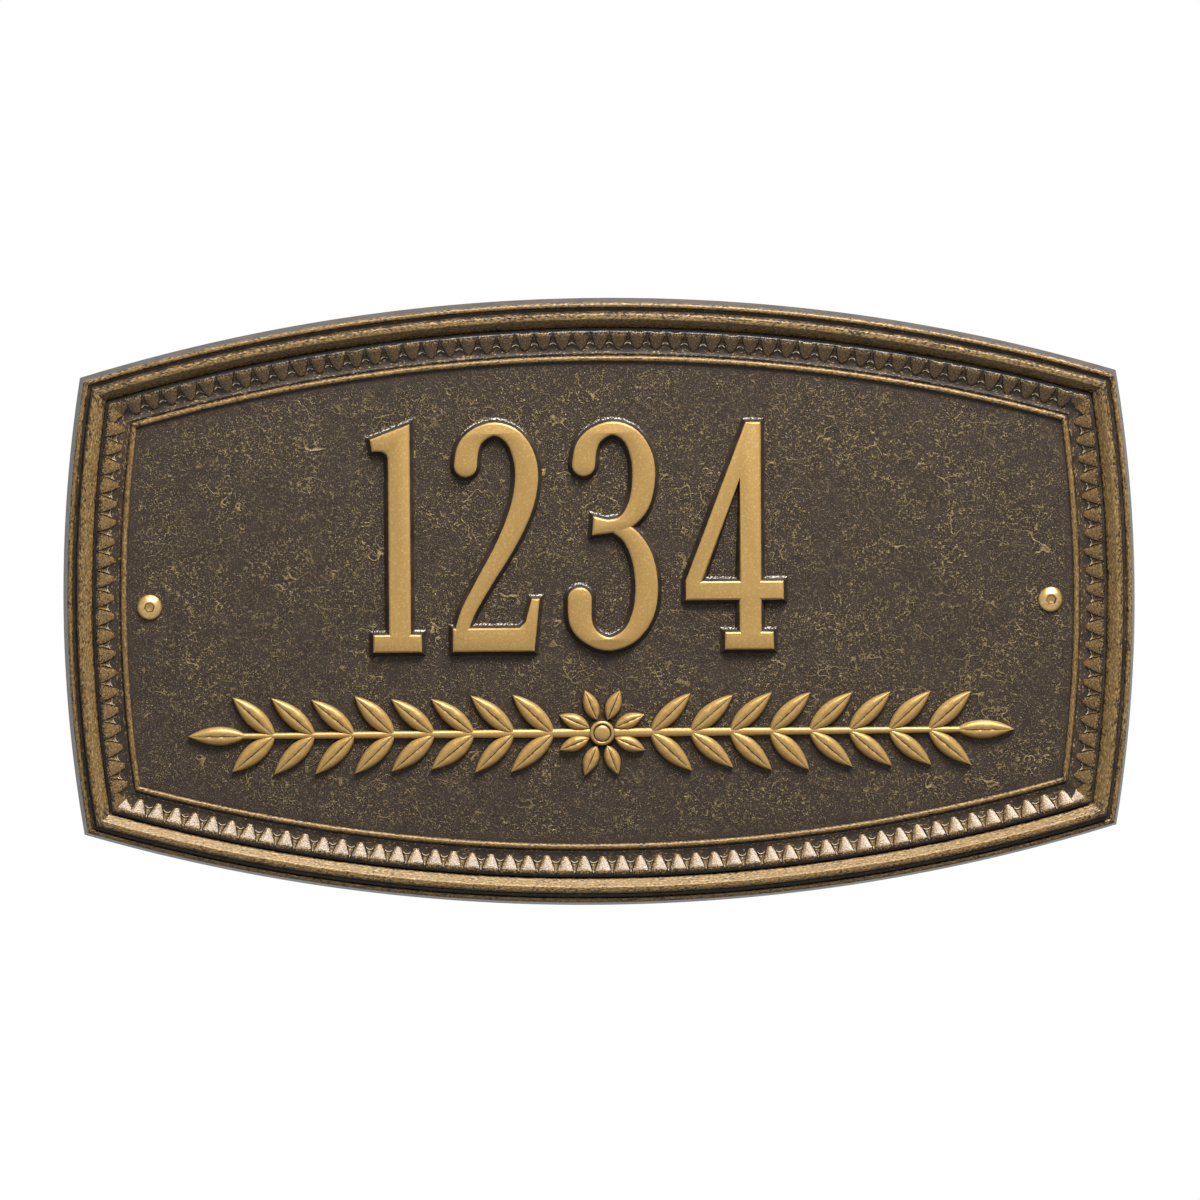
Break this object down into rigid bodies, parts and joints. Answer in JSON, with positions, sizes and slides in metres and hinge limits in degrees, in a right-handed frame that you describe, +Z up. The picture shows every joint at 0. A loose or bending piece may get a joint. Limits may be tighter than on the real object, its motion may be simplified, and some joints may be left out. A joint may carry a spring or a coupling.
{
  "type": "address plaque",
  "caption": "Cast wall plaque with arched edges, a border carved with leaves, raised numerals over a laurel spray, and dome-headed wall screws.",
  "frame": {"origin": "on the wall plane, midway between the two wall screws", "axes": "+X to the right as seen from the front, +Y into the wall, +Z up"},
  "size_m": [0.4, 0.0365, 0.227],
  "materials": {
    "antique_cast": "sand-cast aluminium painted antique bronze, with gold rubbed on the raised faces",
    "brass": "polished brass"
  },
  "bodies": {
    "root": {"plaque": "antique_cast", "wall_screws": "brass"}
  },
  "joints": []
}
